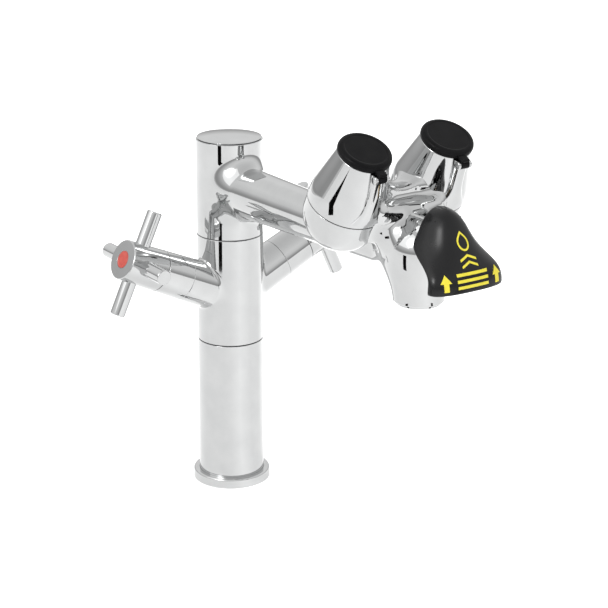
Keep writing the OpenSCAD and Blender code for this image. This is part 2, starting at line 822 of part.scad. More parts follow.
module dust_cap(side) {
    color([0.14, 0.14, 0.14]) on_head(side) difference() {
        union() {
            rotate_extrude() polygon([[0, cap_top], [cap_r - 2.4, cap_top], [cap_r - 0.8, cap_top - 0.9],
                [cap_r, 0], [cap_r - 0.4, -cap_under], [cap_plug_r, -cap_under],
                [cap_plug_r - 0.6, -cap_under - cap_plug_h], [0, -cap_under - cap_plug_h]]);
            translate([0, hinge_y, -hinge_level]) cross_rod(tongue_r, tongue_half_w);
            translate([-tongue_half_w, hinge_y - tongue_r, -hinge_level])
                cube([2 * tongue_half_w, 2 * tongue_r, hinge_level - 0.6]);
            translate([-tongue_half_w, hinge_y, -cap_under])
                cube([2 * tongue_half_w, hinge_lead + 3, cap_under - 0.6]);
        }
        translate([0, hinge_y, -hinge_level]) cross_rod(hinge_pin_r + running_gap, 10);
    }
}

// ---- nodes ---------------------------------------------------------------------------------

deck_gasket();
base_flange();
riser_tube();
base_plug();
supply_pipe(-1);  // hot_supply_pipe
supply_pipe(1);  // cold_supply_pipe
riser_joint_washer();
valve_body();
swivel_post();
swivel_o_rings();
swivel_washer();
headwork(-1);  // hot_headwork
headwork(1);  // cold_headwork
seat_disc(-1);  // hot_seat_disc
seat_disc(1);  // cold_seat_disc
bonnet(-1);  // hot_bonnet
bonnet(1);  // cold_bonnet
spindle(-1);  // hot_spindle
spindle(1);  // cold_spindle
turning_disc(-1);  // hot_turning_disc
turning_disc(1);  // cold_turning_disc
handle_hub(-1);  // hot_handle_hub
handle_hub(1);  // cold_handle_hub
handle_spokes(-1);  // hot_handle_spokes
handle_spokes(1);  // cold_handle_spokes
handle_screw(-1);  // hot_handle_screw
handle_screw(1);  // cold_handle_screw
index_button(-1, "indianred");  // hot_index_button
index_button(1, "royalblue");  // cold_index_button
spout_casting();
swivel_bushes();
retaining_screw();
top_cap();
aerator_sleeve();
aerator_insert();
head_nipples();
diverter_bush();
diverter_stem();
diverter_spring();
diverter_link_pin();
lift_paddle();
paddle_pivot_pin();
head_bowl(-1);  // left_head_bowl
head_bowl(1);  // right_head_bowl
seam_seal(-1);  // left_seam_seal
seam_seal(1);  // right_seam_seal
head_shell(-1);  // left_head_shell
head_shell(1);  // right_head_shell
filter_pad(-1);  // left_filter_pad
filter_pad(1);  // right_filter_pad
spray_plate(-1);  // left_spray_plate
spray_plate(1);  // right_spray_plate
hinge_bracket(-1);  // left_hinge_bracket
hinge_bracket(1);  // right_hinge_bracket
hinge_pin(-1);  // left_hinge_pin
hinge_pin(1);  // right_hinge_pin
dust_cap(-1);  // left_dust_cap
dust_cap(1);  // right_dust_cap
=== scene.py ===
"""Looks of a deck-mounted chrome laboratory faucet with a twin-head emergency eyewash.

Sizes in the classes are millimetres in the row frame: the origin is where the column axis meets
the deck, +Z is up, the spout points along -Y, and the hot valve is on the -X side.
"""

import json
import logging
import math
from dataclasses import dataclass
from enum import Enum
from typing import Callable, Iterable, Optional, Sequence, Union

import bmesh
import bpy
import numpy as np
from mathutils import Matrix, Vector


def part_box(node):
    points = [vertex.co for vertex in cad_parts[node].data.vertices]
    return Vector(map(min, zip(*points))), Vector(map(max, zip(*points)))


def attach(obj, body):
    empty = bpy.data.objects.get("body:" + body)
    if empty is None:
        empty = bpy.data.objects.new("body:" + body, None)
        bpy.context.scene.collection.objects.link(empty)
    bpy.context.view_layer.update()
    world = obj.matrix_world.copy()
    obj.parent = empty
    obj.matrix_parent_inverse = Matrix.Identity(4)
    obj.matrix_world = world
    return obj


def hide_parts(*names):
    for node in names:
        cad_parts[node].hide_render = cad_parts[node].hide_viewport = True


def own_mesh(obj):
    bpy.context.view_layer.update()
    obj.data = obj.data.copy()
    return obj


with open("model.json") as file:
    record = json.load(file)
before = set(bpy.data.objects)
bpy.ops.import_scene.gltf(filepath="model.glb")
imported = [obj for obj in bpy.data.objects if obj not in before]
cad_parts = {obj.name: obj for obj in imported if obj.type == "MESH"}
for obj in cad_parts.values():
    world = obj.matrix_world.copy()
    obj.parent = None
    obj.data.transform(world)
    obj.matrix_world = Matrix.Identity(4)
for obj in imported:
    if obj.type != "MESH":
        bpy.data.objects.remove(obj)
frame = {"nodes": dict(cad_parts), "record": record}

LOG = logging.getLogger("faucet")
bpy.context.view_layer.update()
MM = 0.001
FINE = 0.005  # the step of turn and row that feels the slope of the hood
PROBE = 0.02  # the step in millimetres that feels the slope of a casting
RIM = "turned_rim"


# ---- shader building ----------------------------------------------------------------------


class Socket:
    """A shader output that takes part in Python arithmetic."""

    def __init__(self, board: "Board", out: bpy.types.NodeSocket) -> None:
        """Keeps the board and the output."""
        self.board, self.out = board, out

    def _math(self, operation: str, a: "Value", b: "Value" = 0.0) -> "Socket":
        """Adds one Math node and returns its output."""
        return self.board.node("ShaderNodeMath", {"operation": operation}, {0: a, 1: b})

    def __add__(self, other: "Value") -> "Socket":
        """self + other."""
        return self._math("ADD", self, other)

    __radd__ = __add__

    def __mul__(self, other: "Value") -> "Socket":
        """self * other."""
        return self._math("MULTIPLY", self, other)

    __rmul__ = __mul__

    def __sub__(self, other: "Value") -> "Socket":
        """self - other."""
        return self._math("SUBTRACT", self, other)

    def __rsub__(self, other: "Value") -> "Socket":
        """other - self."""
        return self._math("SUBTRACT", other, self)


Value = Union[Socket, float, int, tuple]


class Board:
    """A node tree and the one method that adds nodes to it."""

    def __init__(self, tree: bpy.types.NodeTree) -> None:
        """Starts from an empty tree."""
        self.tree = tree
        tree.nodes.clear()

    def node(self, kind: str, settings: Optional[dict] = None, inputs: Optional[dict] = None,
             output: Union[int, str] = 0) -> Socket:
        """Adds a node.

        Args:
            kind: the node's type.
            settings: its properties; a list under "stops" fills a ramp with (place, colour).
            inputs: values or links for its sockets, by name or place.
            output: the output to return.

        Returns:
            The chosen output.
        """
        made = self.tree.nodes.new(kind)
        for key, value in (settings or {}).items():
            if key == "stops":
                ramp = made.color_ramp
                while len(ramp.elements) < len(value):
                    ramp.elements.new(0.5)
                for stop, (place, colour) in zip(ramp.elements, value):
                    stop.position, stop.color = place, colour
            else:
                setattr(made, key, value)
        for key, value in (inputs or {}).items():
            if isinstance(value, Socket):
                self.tree.links.new(value.out, made.inputs[key])
            else:
                made.inputs[key].default_value = value
        return Socket(self, made.outputs[output] if made.outputs else None)

    def place(self, scale: tuple = (1.0, 1.0, 1.0)) -> Socket:
        """Object coordinates, stretched by scale."""
        spot = self.node("ShaderNodeTexCoord", output="Object")
        return self.node("ShaderNodeMapping", {"vector_type": "POINT"},
                         {"Vector": spot, "Scale": scale})

    def noise(self, scale: float, detail: float = 3.0, stretch: tuple = (1.0, 1.0, 1.0)) -> Socket:
        """Noise from 0 to 1 with that many features to the metre."""
        return self.node("ShaderNodeTexNoise", {}, {"Vector": self.place(stretch), "Scale": scale,
                                                    "Detail": detail}, "Fac")

    def band(self, value: Socket, low: float, high: float) -> Socket:
        """value, spread from 0 at low to 1 at high."""
        return self.node("ShaderNodeMapRange", {"clamp": True},
                         {"Value": value, "From Min": low, "From Max": high})

    def blend(self, amount: Value, first: tuple, second: tuple) -> Socket:
        """A colour between first and second."""
        return self.node("ShaderNodeMix", {"data_type": "RGBA"}, {0: amount, 6: first, 7: second},
                         2)

    def bump(self, height: Socket, depth: float) -> Socket:
        """A normal bent by a height, whose full range is depth metres."""
        return self.node("ShaderNodeBump", {}, {"Height": height, "Distance": depth})


def fresh_material(name: str) -> tuple:
    """A new material and the empty board of its nodes."""
    made = bpy.data.materials.new(name)
    made.use_nodes = True
    return made, Board(made.node_tree)


# ---- finishes -------------------------------------------------------------------------------


@dataclass(frozen=True)
class Finish:
    """A surface finish: its slot in the record, its colours and its gloss."""

    slot: str
    colour: tuple
    shade: tuple
    gloss: tuple = (0.3, 0.4)
    metal: float = 0.0
    patch: float = 90.0
    grain: float = 2500.0
    grain_depth: float = 0.00002
    stretch: tuple = (1.0, 1.0, 1.0)
    mirror: float = 0.5
    listed: bool = True

    def material(self) -> bpy.types.Material:
        """Returns the finish's material, made on the first call."""
        name = "finish_" + self.slot
        made = bpy.data.materials.get(name)
        if made:
            return made
        made, board = fresh_material(name)
        patch = board.noise(self.patch, 4.0)
        grain = board.noise(self.grain, 2.0, self.stretch)
        wear = board.band(patch, 0.35, 0.7)
        rough = wear * (self.gloss[1] - self.gloss[0]) + self.gloss[0]
        inputs = {"Base Color": board.blend(wear, self.colour + (1.0,), self.shade + (1.0,)),
                  "Roughness": rough, "Metallic": self.metal, "Specular IOR Level": self.mirror}
        if self.grain_depth > 0:
            inputs["Normal"] = board.bump(grain, self.grain_depth)
        surface = board.node("ShaderNodeBsdfPrincipled", {}, inputs)
        board.node("ShaderNodeOutputMaterial", {}, {"Surface": surface})
        return made


class Look(Enum):
    """The finishes of this faucet."""

    CHROME = Finish("chrome", (0.565, 0.57, 0.57), (0.53, 0.535, 0.537), (0.028, 0.055), 1.0, 55.0,
                    900.0, 0.0)
    BRASS = Finish("brass", (0.72, 0.53, 0.24), (0.60, 0.42, 0.18), (0.22, 0.36), 1.0, 120.0,
                   3000.0, 0.00001, (1.0, 1.0, 6.0))
    COPPER = Finish("copper", (0.74, 0.42, 0.27), (0.58, 0.30, 0.19), (0.25, 0.4), 1.0, 90.0,
                    2500.0, 0.00001)
    STEEL = Finish("steel", (0.56, 0.56, 0.57), (0.47, 0.47, 0.48), (0.22, 0.34), 1.0, 200.0,
                   4000.0, 0.00001, (6.0, 1.0, 1.0))
    RUBBER = Finish("seal_rubber", (0.022, 0.022, 0.023), (0.035, 0.035, 0.036), (0.6, 0.75), 0.0,
                    300.0, 5000.0, 0.00004)
    BEARING = Finish("bearing_plastic", (0.10, 0.10, 0.105), (0.14, 0.14, 0.145), (0.4, 0.5), 0.0,
                     200.0, 3500.0)
    CERAMIC = Finish("ceramic", (0.86, 0.85, 0.81), (0.80, 0.79, 0.75), (0.12, 0.2), 0.0, 250.0,
                     6000.0, 0.000005)
    RED = Finish("hot_red", (0.50, 0.075, 0.055), (0.44, 0.055, 0.04), (0.28, 0.38), 0.0, 260.0,
                 5200.0, 0.00001)
    BLUE = Finish("cold_blue", (0.03, 0.10, 0.48), (0.025, 0.08, 0.40), (0.28, 0.38), 0.0, 260.0,
                  5200.0, 0.00001)
    WHITE = Finish("white_plastic", (0.80, 0.80, 0.78), (0.74, 0.74, 0.72), (0.32, 0.42), 0.0,
                   180.0, 4000.0)
    FOAM = Finish("filter_foam", (0.42, 0.50, 0.40), (0.26, 0.33, 0.25), (0.85, 0.95), 0.0, 700.0,
                  900.0, 0.0008)
    PADDLE = Finish("paddle_black", (0.0055, 0.0055, 0.006), (0.008, 0.008, 0.0085), (0.22, 0.28),
                    0.0, 70.0, 3200.0, 0.000012, mirror=0.3)
    CAP = Finish("cap_black", (0.006, 0.006, 0.0065), (0.009, 0.009, 0.0095), (0.3, 0.38), 0.0,
                 110.0, 4200.0, 0.00002, mirror=0.06)
    YELLOW = Finish("mark_yellow", (0.80, 0.70, 0.045), (0.74, 0.63, 0.035), (0.34, 0.44), 0.0,
                    200.0, 6000.0, 0.00001, listed=False)


# ---- mesh helpers ---------------------------------------------------------------------------


def as_object(name: str, bm: bmesh.types.BMesh) -> bpy.types.Object:
    """Puts a bmesh, freed here, into the scene as an object."""
    mesh = bpy.data.meshes.new(name)
    bm.to_mesh(mesh)
    bm.free()
    made = bpy.data.objects.new(name, mesh)
    bpy.context.scene.collection.objects.link(made)
    return made


def finish_piece(name: str, bm: bmesh.types.BMesh, body: str, look: Look,
                 replaced: Sequence[str] = (), sharp: float = 40.0,
                 even: bool = True) -> bpy.types.Object:
    """Turns a millimetre bmesh into a finished piece.

    Args:
        name: the piece's name.
        bm: its mesh in millimetres, freed here.
        body: the CAD body that it rides on.
        look: its finish.
        replaced: the CAD nodes that it stands for.
        sharp: edges over this angle in degrees stay crisp.
        even: shade flat faces evenly up to their rounded edges.

    Returns:
        The piece's object.
    """
    bmesh.ops.scale(bm, vec=(MM, MM, MM), verts=bm.verts)
    piece = as_object(name, bm)
    mesh = piece.data
    mesh.shade_smooth()
    mesh.set_sharp_from_angle(angle=math.radians(sharp))
    if even:
        shading = piece.modifiers.new("even_shading", "WEIGHTED_NORMAL")
        shading.keep_sharp = True
    mesh.materials.append(look.value.material())
    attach(piece, body)
    if replaced:
        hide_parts(*replaced)
    LOG.info("%s: %d faces, rides on %s", name, len(mesh.polygons), body)
    return piece


def turned(profile: Sequence[tuple], closed: bool = False, steps: int = 128) -> bmesh.types.BMesh:
    """Spins a profile round Z, as on a lathe.

    Args:
        profile: (radius, level, rounding) at each corner.
        closed: the profile joins its own end, as a ring's does.
        steps: faces round the turn.

    Returns:
        The turned mesh, with its faces outwards.
    """
    bm = bmesh.new()
    corners = [bm.verts.new((r, 0.0, z)) for r, z, _ in profile]
    for a, b in zip(corners, corners[1:] + (corners[:1] if closed else [])):
        bm.edges.new((a, b))
    for amount in sorted({rounding for _, _, rounding in profile if rounding > 0}):
        geom = [v for v, (_, _, rounding) in zip(corners, profile) if rounding == amount]
        bmesh.ops.bevel(bm, geom=geom, offset=amount, offset_type="OFFSET", segments=6, profile=0.5,
                        affect="VERTICES", material=-1)
    bmesh.ops.spin(bm, geom=bm.verts[:] + bm.edges[:], cent=(0, 0, 0), axis=(0, 0, 1),
                   angle=math.tau, steps=steps, use_merge=True)
    bmesh.ops.remove_doubles(bm, verts=bm.verts, dist=1e-4)
    bmesh.ops.dissolve_degenerate(bm, dist=1e-5, edges=bm.edges)
    bmesh.ops.recalc_face_normals(bm, faces=bm.faces)
    return bm


def moved(bm: bmesh.types.BMesh, matrix: Matrix) -> bmesh.types.BMesh:
    """Places a whole mesh and returns it."""
    bmesh.ops.transform(bm, matrix=matrix, verts=bm.verts)
    return bm


def joined(*meshes: bmesh.types.BMesh) -> bmesh.types.BMesh:
    """Puts several meshes into the first, frees the rest and returns it."""
    first = meshes[0]
    for other in meshes[1:]:
        held = bpy.data.meshes.new("held")
        other.to_mesh(held)
        other.free()
        first.from_mesh(held)
        bpy.data.meshes.remove(held)
    return first


def rounded_block(size: tuple, centre: tuple, rounding: float,
                  segments: int = 4) -> bmesh.types.BMesh:
    """A block with rounded edges.

    Args:
        size: its length along X, Y and Z.
        centre: its middle.
        rounding: the radius of its edges.
        segments: faces across a rounding.

    Returns:
        The block's mesh.
    """
    bm = bmesh.new()
    bmesh.ops.create_cube(bm, size=1.0, matrix=Matrix.Translation(centre)
                          @ Matrix.Diagonal((*size, 1.0)))
    bmesh.ops.bevel(bm, geom=bm.edges[:], offset=rounding, offset_type="OFFSET", segments=segments,
                    profile=0.5, affect="EDGES", material=-1)
    return bm


def rod(radius: float, start: tuple, end: tuple, rounding: float = 0.0,
        steps: int = 64) -> bmesh.types.BMesh:
    """A round bar between two points, with rounded ends."""
    a, b = Vector(start), Vector(end)
    length = (b - a).length
    bm = turned([(0, 0, 0), (radius, 0, rounding), (radius, length, rounding), (0, length, 0)],
                steps=steps)
    return moved(bm, Matrix.Translation(a) @ (b - a).to_track_quat("Z", "Y").to_matrix().to_4x4())


def eased(x: np.ndarray, places: Sequence[float], values: Sequence[float]) -> np.ndarray:
    """A smooth curve through points, which never overshoots them.

    Args:
        x: where to read the curve.
        places: the points' places, rising.
        values: the points' values.

    Returns:
        The curve's values at x.
    """
    p, v = np.asarray(places, float), np.asarray(values, float)
    run, rise = np.diff(p), np.diff(v)
    slope = rise / run
    tangent = np.concatenate([[slope[0]], (slope[:-1] + slope[1:]) / 2, [slope[-1]]])
    turn = slope[:-1] * slope[1:] <= 0
    tangent[1:-1][turn] = 0
    i = np.clip(np.searchsorted(p, x, side="right") - 1, 0, len(p) - 2)
    t = np.clip((x - p[i]) / run[i], 0, 1)
    return ((1 + 2 * t) * (1 - t) ** 2 * v[i] + t * (1 - t) ** 2 * run[i] * tangent[i]
            + t * t * (3 - 2 * t) * v[i + 1] + t * t * (t - 1) * run[i] * tangent[i + 1])


# ---- cast skins -----------------------------------------------------------------------------


def tapered(p: np.ndarray, a: tuple, b: tuple, ra: float, rb: float) -> np.ndarray:
    """Distance to a round-ended bar whose radius goes from ra at a to rb at b."""
    a, b = np.array(a, float), np.array(b, float)
    t = np.clip((p - a) @ (b - a) / ((b - a) @ (b - a)), 0, 1)
    return np.linalg.norm(p - a - t[:, None] * (b - a), axis=1) - (ra + t * (rb - ra))


def block(p: np.ndarray, centre: tuple, half: tuple, rounding: float) -> np.ndarray:
    """Distance to a block with rounded edges."""
    q = np.abs(p - np.array(centre)) - (np.array(half) - rounding)
    return np.linalg.norm(np.maximum(q, 0), axis=1) + np.minimum(q.max(axis=1), 0) - rounding


def fillet(a: np.ndarray, b: np.ndarray, r: float) -> np.ndarray:
    """Distance to two shapes together, with a fillet of radius r where they meet."""
    return np.maximum(r, np.minimum(a, b)) - np.hypot(np.maximum(r - a, 0), np.maximum(r - b, 0))


def scooped(a: np.ndarray, b: np.ndarray, r: float) -> np.ndarray:
    """Distance to the first shape less the second, with its edge rounded by r."""
    return np.minimum(-r, np.maximum(a, -b)) + np.hypot(np.maximum(r + a, 0), np.maximum(r - b, 0))


@dataclass
class CastSkin:
    """A casting: rough blanks are merged, then every point is brought onto the filleted shape."""

    pitch: float = 1.0
    passes: int = 6
    stride: float = 4.0

    def distance(self, p: np.ndarray) -> np.ndarray:
        """Distance of each point to the finished shape, negative inside."""
        raise NotImplementedError

    def blanks(self) -> list:
        """Returns rough meshes that together fill the shape."""
        raise NotImplementedError

    def slope(self, p: np.ndarray) -> np.ndarray:
        """Returns the outward direction of the shape at each point."""
        step = np.eye(3) * PROBE
        g = np.stack([self.distance(p + s) - self.distance(p - s) for s in step], axis=1)
        return g / np.maximum(np.linalg.norm(g, axis=1, keepdims=True), 1e-9)

    def settle(self, bm: bmesh.types.BMesh, rounds: int = 5) -> None:
        """Brings every vertex of bm onto the shape."""
        p = np.array([v.co for v in bm.verts], float)
        for _ in range(rounds):
            p -= np.clip(self.distance(p), -self.stride, self.stride)[:, None] * self.slope(p)
        for v, co in zip(bm.verts, p):
            v.co = co

    def cast(self) -> bmesh.types.BMesh:
        """Returns the finished skin, before its ends are cut."""
        blank = as_object("blank", joined(*self.blanks()))
        mesh = blank.data
        merge = blank.modifiers.new("merge", "REMESH")
        merge.mode, merge.voxel_size = "VOXEL", self.pitch
        ready = blank.evaluated_get(bpy.context.evaluated_depsgraph_get())
        bm = bmesh.new()
        bm.from_mesh(ready.to_mesh())
        ready.to_mesh_clear()
        bpy.data.objects.remove(blank)
        bpy.data.meshes.remove(mesh)
        for _ in range(self.passes):
            self.settle(bm, 2)
            bmesh.ops.smooth_vert(bm, verts=bm.verts, factor=0.5, use_axis_x=True, use_axis_y=True,
                                  use_axis_z=True)
        self.settle(bm)
        bm.faces.layers.int.new(RIM)
        return bm

    def cut(self, bm: bmesh.types.BMesh, axis: Matrix, level: float,
            chosen: Callable[[Vector], bool], rings: Sequence[tuple]) -> None:
        """Cuts an end off square and turns its lip in.

        Args:
            bm: the skin.
            axis: the frame of the end, whose Z points out of it.
            level: where the cut is, along that Z.
            chosen: true for a face centre that belongs to this end.
            rings: (radius, level) of each ring of the lip, from the cut inwards.
        """
        faces = [f for f in bm.faces if chosen(f.calc_center_median())]
        geom = list({v for f in faces for v in f.verts}) + list({e for f in faces
                                                                 for e in f.edges}) + faces
        done = bmesh.ops.bisect_plane(bm, geom=geom, dist=1e-5, plane_co=axis
                                      @ Vector((0, 0, level)), plane_no=axis.to_3x3()
                                      @ Vector((0, 0, 1)), clear_outer=True)
        edges = [e for e in done["geom_cut"] if isinstance(e, bmesh.types.BMEdge) and e.is_boundary]
        rim = bm.faces.layers.int[RIM]
        back = axis.inverted()
        for radius, height in rings:
            out = bmesh.ops.extrude_edge_only(bm, edges=edges)["geom"]
            new = {v for v in out if isinstance(v, bmesh.types.BMVert)}
            edges = [e for e in out if isinstance(e, bmesh.types.BMEdge) and set(e.verts) <= new]
            for f in (f for f in out if isinstance(f, bmesh.types.BMFace)):
                f[rim] = 1
            for v in new:
                flat = (back @ v.co).xy.normalized() * radius
                v.co = axis @ Vector((*flat, height))

    def piece(self, name: str, bm: bmesh.types.BMesh, body: str, look: Look,
              replaced: Sequence[str]) -> None:
        """Finishes the skin as a piece, with its exact normals on all but the turned lips."""
        bmesh.ops.recalc_face_normals(bm, faces=bm.faces)
        made = finish_piece(name, bm, body, look, replaced, even=False)
        mesh = made.data
        points = np.empty(len(mesh.vertices) * 3)
        mesh.vertices.foreach_get("co", points)
        outward = self.slope(points.reshape(-1, 3) / MM)
        corner = np.empty(len(mesh.loops), int)
        mesh.loops.foreach_get("vertex_index", corner)
        normals = outward[corner]
        rim = mesh.attributes[RIM].data
        for face in mesh.polygons:
            if rim[face.index].value:
                normals[face.loop_start:face.loop_start + face.loop_total] = face.normal
        mesh.normals_split_custom_set(normals.tolist())


# ---- column and base ------------------------------------------------------------------------


@dataclass
class Column:
    """The base flange, riser tube and top cap."""

    radius: float = 25.0
    riser_foot: float = 3.0
    riser_top: float = 114.6
    riser_bore: float = 22.0
    flange_radius: float = 29.5
    flange_height: float = 7.5
    gasket_radius: float = 26.55
    gasket_height: float = 1.8
    plug_bore: float = 19.1
    riser_seat: float = 3.1
    cap_radius: float = 24.3
    cap_rim: float = 271.9
    cap_crown: float = 274.2
    cap_skirt: float = 23.2
    cap_foot: float = 266.05

    def build(self) -> None:
        """Builds and dresses the column's own pieces."""
        socket, seat = self.radius + 0.05, self.riser_seat
        ring = [(socket, seat, 0.0), (socket, self.flange_height, 0.25),
                (self.flange_radius, self.flange_height, 1.6), (self.flange_radius, 0.0, 0.3),
                (self.gasket_radius, 0.0, 0.0), (self.gasket_radius, self.gasket_height, 0.0),
                (self.plug_bore, self.gasket_height, 0.0), (self.plug_bore, seat, 0.0)]
        finish_piece("flange_ring", turned(ring, True), "base", Look.CHROME, ["base_flange"])
        tube = [(self.radius, self.riser_foot, 0.0), (self.radius, self.riser_top, 0.35),
                (self.riser_bore, self.riser_top, 0.35), (self.riser_bore, self.riser_foot, 0.0)]
        finish_piece("riser_skin", turned(tube, True), "base", Look.CHROME, ["riser_tube"])
        rim, rise = self.cap_rim, self.cap_crown - self.cap_rim
        dome = [(0.0, self.cap_crown, 0.0)]
        dome += [(self.cap_radius * t, rim + rise * (1 - t * t), 0.0)
                 for t in (0.15, 0.3, 0.45, 0.6, 0.72, 0.82, 0.9, 0.955)]
        dome += [(self.cap_radius, rim - 0.1, 0.3), (self.cap_skirt, rim - 0.9, 0.1),
                 (self.cap_skirt, self.cap_foot, 0.0), (0.0, self.cap_foot, 0.0)]
        finish_piece("top_cap_dome", turned(dome), "spout", Look.CHROME, ["top_cap"])


# ---- valves and handles ---------------------------------------------------------------------


@dataclass
class ValveBody(CastSkin):
    """The valve body: a column with a tapered branch on each side."""

    radius: float = 25.0
    foot: float = 115.2
    top: float = 197.6
    crossing: float = 149.6
    tilt: float = 24.8
    branch_end: float = 47.0
    face_radius: float = 15.0
    face: float = 102.2
    taper: float = 0.0246
    crease: float = 2.4
    post_bore: float = 17.05
    foot_bore: float = 12.0
    headwork_bore: float = 10.05

    def axis(self, side: int) -> Matrix:
        """The frame of a valve: its Z runs out along the valve's axis."""
        turn = Matrix.Rotation(math.radians(side * (90 - self.tilt)), 4, "Y")
        return Matrix.Translation((0, 0, self.crossing)) @ turn

    def branch_radius(self, t: float) -> float:
        """The radius of a branch at a distance along its axis."""
        return self.face_radius + self.taper * (self.face - t)

    def distance(self, p: np.ndarray) -> np.ndarray:
        """Distance to the column with its two branches."""
        column = np.hypot(p[:, 0], p[:, 1]) - self.radius
        reach = self.branch_end + 25
        sides = [tapered(p, self.axis(s) @ Vector((0, 0, 6)), self.axis(s) @ Vector((0, 0, reach)),
                         self.branch_radius(6), self.branch_radius(reach)) for s in (-1, 1)]
        return fillet(column, np.minimum(*sides), self.crease)

    def blanks(self) -> list:
        """Rough column and branches."""
        rough = [rod(self.radius, (0, 0, self.foot - 6), (0, 0, self.top + 6))]
        for side in (-1, 1):
            rough.append(moved(rod(self.branch_radius(40), (0, 0, 6), (0, 0, self.branch_end + 6)),
                               self.axis(side)))
        return rough

    def build(self) -> None:
        """Builds the valve body."""
        bm = self.cast()
        up, down = Matrix(), Matrix.Rotation(math.pi, 4, "X")
        self.cut(bm, up, self.top - 0.3, lambda c: c.z > self.top - 5,
                 [(self.radius - 0.3, self.top), (self.post_bore, self.top),
                  (self.post_bore, self.top - 8)])
        self.cut(bm, down, -self.foot - 0.3, lambda c: c.z < self.foot + 5,
                 [(self.radius - 0.3, -self.foot), (self.foot_bore, -self.foot),
                  (self.foot_bore, -self.foot - 8)])
        for side in (-1, 1):
            axis = self.axis(side)
            back = axis.inverted()
            r = self.branch_radius(self.branch_end)
            self.cut(bm, axis, self.branch_end - 0.3,
                     lambda c, b=back: (b @ c).z > self.branch_end - 4 and (b @ c).xy.length < 22,
                     [(r - 0.3, self.branch_end), (self.headwork_bore, self.branch_end),
                      (self.headwork_bore, self.branch_end - 12)])
        self.piece("valve_body_skin", bm, "base", Look.CHROME, ["valve_body"])


@dataclass
class Handle:
    """A cross handle with its bonnet and coloured index button."""

    valve: ValveBody
    side: int
    look: Look
    hub_length: float = 31.8
    gap: float = 0.4
    spoke_radius: float = 5.7
    spoke_reach: float = 40.5
    spoke_setback: float = 12.2
    index_radius: float = 6.4
    index_recess: float = 2.6
    spoke_root: float = 11.0
    spindle_bore: float = 4.55
    socket_radius: float = 9.0
    socket_depth: float = 5.5

    @property
    def word(self) -> str:
        """hot or cold."""
        return "hot" if self.side < 0 else "cold"

    def build(self) -> None:
        """Builds the bonnet, the hub with its spokes and the button."""
        valve, face = self.valve, self.valve.face
        axis = valve.axis(self.side)
        back = face - self.hub_length
        bonnet_end = back - self.gap
        r = valve.branch_radius
        start = valve.branch_end
        shell = [(r(start), start, 0.3), (r(bonnet_end), bonnet_end, 0.35),
                 (valve.headwork_bore, bonnet_end, 0.0), (valve.headwork_bore, start, 0.0)]
        finish_piece(f"{self.word}_bonnet_skin", moved(turned(shell, True), axis), "base",
                     Look.CHROME, [f"{self.word}_bonnet"])
        seat, step = face - self.index_recess, back + self.socket_depth
        recess = self.index_radius + 0.25
        hub = [(self.socket_radius, back, 0.0), (r(back), back, 0.4), (r(face), face, 0.9),
               (recess, face, 0.2), (recess, seat, 0.0), (self.spindle_bore, seat, 0.0),
               (self.spindle_bore, step, 0.0), (self.socket_radius, step, 0.0)]
        body = f"{self.word}_handle"
        finish_piece(f"{self.word}_hub_skin", moved(turned(hub, True), axis), body, Look.CHROME,
                     [f"{self.word}_handle_hub"])
        level = face - self.spoke_setback
        bars = []
        for turn in range(4):
            bar = rod(self.spoke_radius, (self.spoke_root, 0, level), (self.spoke_reach, 0, level),
                      0.9)
            bars.append(moved(bar, axis @ Matrix.Rotation(turn * math.pi / 2, 4, "Z")))
        finish_piece(f"{self.word}_spoke_bars", joined(*bars), body, Look.CHROME,
                     [f"{self.word}_handle_spokes"])
        low = seat + 0.02
        button = [(0, low, 0), (self.index_radius, low, 0), (self.index_radius, face + 0.1, 0.45),
                  (self.index_radius * 0.55, face + 0.32, 1.0), (0, face + 0.36, 0)]
        finish_piece(f"{self.word}_index_disc", moved(turned(button, steps=64), axis), body,
                     self.look, [f"{self.word}_index_button"])


# ---- spout ----------------------------------------------------------------------------------


@dataclass
class HeadFrame:
    """Where a spray head stands: levels run up its axis from the cap's widest plane."""

    side: int
    half_gap: float = 33.7
    reach: float = 215.0
    height: float = 311.0
    tilt: float = 27.5

    @property
    def word(self) -> str:
        """left or right."""
        return "left" if self.side < 0 else "right"

    @property
    def axis(self) -> Matrix:
        """The frame of the head."""
        spot = Matrix.Translation((self.side * self.half_gap, -self.reach, self.height))
        return spot @ Matrix.Rotation(math.radians(self.tilt), 4, "X")


